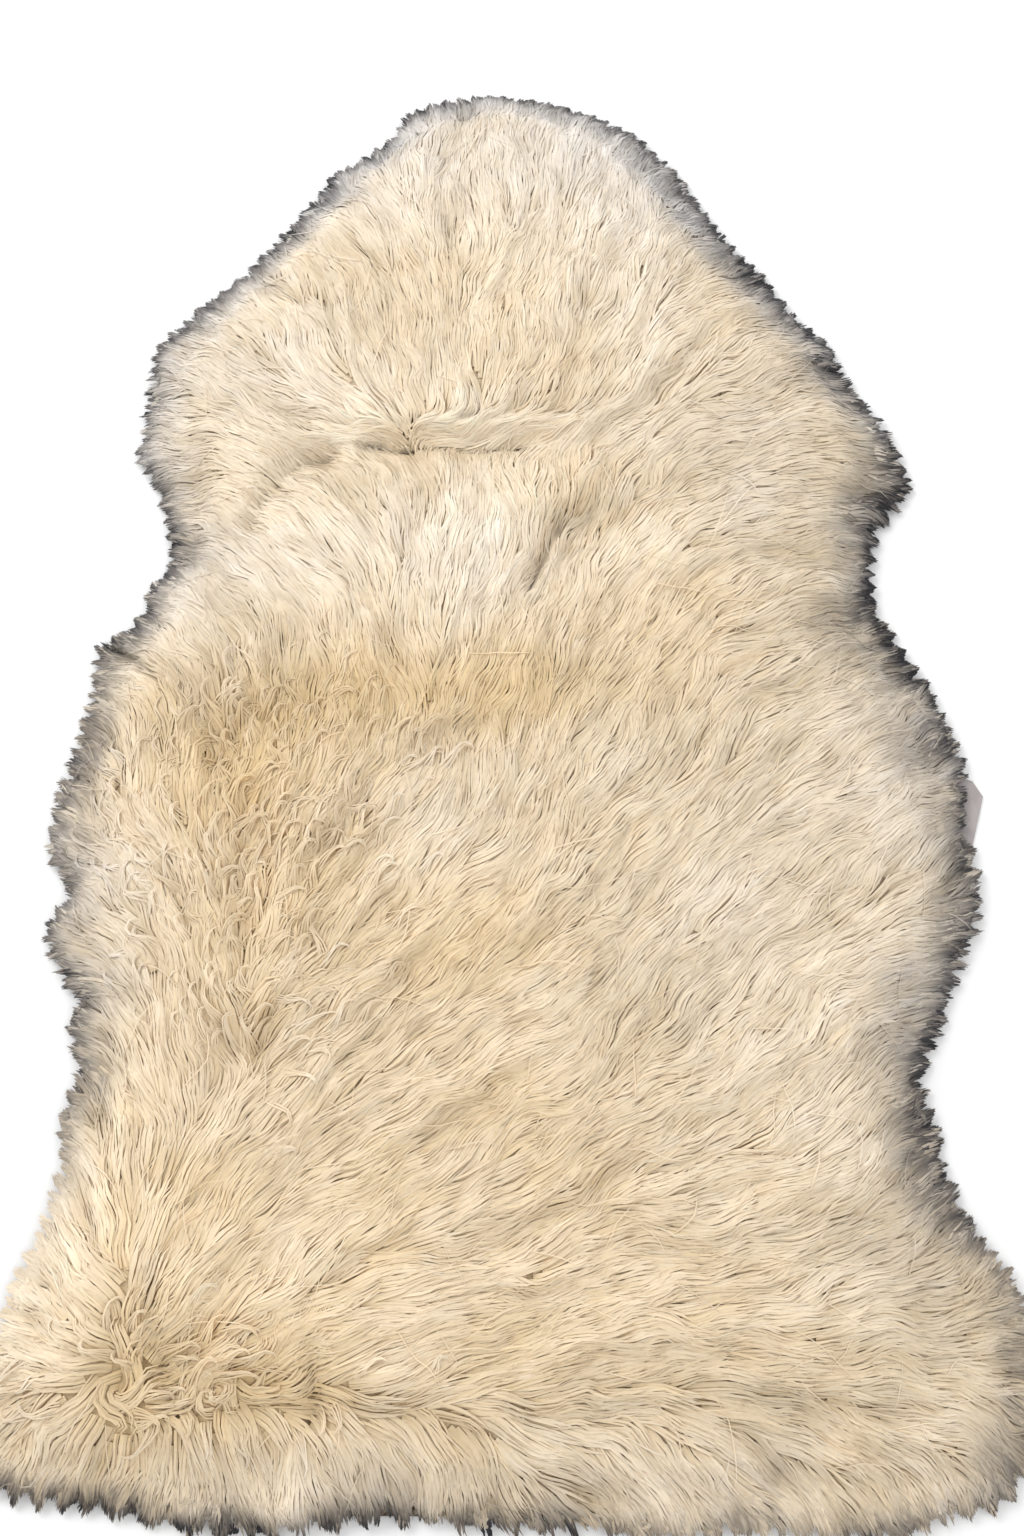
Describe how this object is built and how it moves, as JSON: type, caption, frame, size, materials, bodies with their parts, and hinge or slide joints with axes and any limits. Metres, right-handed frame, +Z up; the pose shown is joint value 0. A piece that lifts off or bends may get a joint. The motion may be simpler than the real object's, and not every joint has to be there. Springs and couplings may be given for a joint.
{
  "type": "sheepskin rug",
  "caption": "Natural sheepskin rug lying flat: tanned hide in the outline of the animal, long combed cream fleece with pointed locks at its rim, and a small bare folded label.",
  "frame": {"origin": "on the floor, under the middle of the rug's box", "axes": "+Y along the rug towards its neck, +X to the right seen from above with the neck away, +Z up out of the wool"},
  "size_m": [0.5736, 0.9583, 0.0434],
  "materials": {
    "hide": "matte tanned suede, the flesh side of the skin",
    "fleece": "long combed natural wool, cream with golden patches, soft sheen",
    "label": "fine woven tape, pale warm grey, bare"
  },
  "bodies": {
    "root": {"hide": "hide", "fleece": "fleece", "label": "label"}
  },
  "joints": []
}
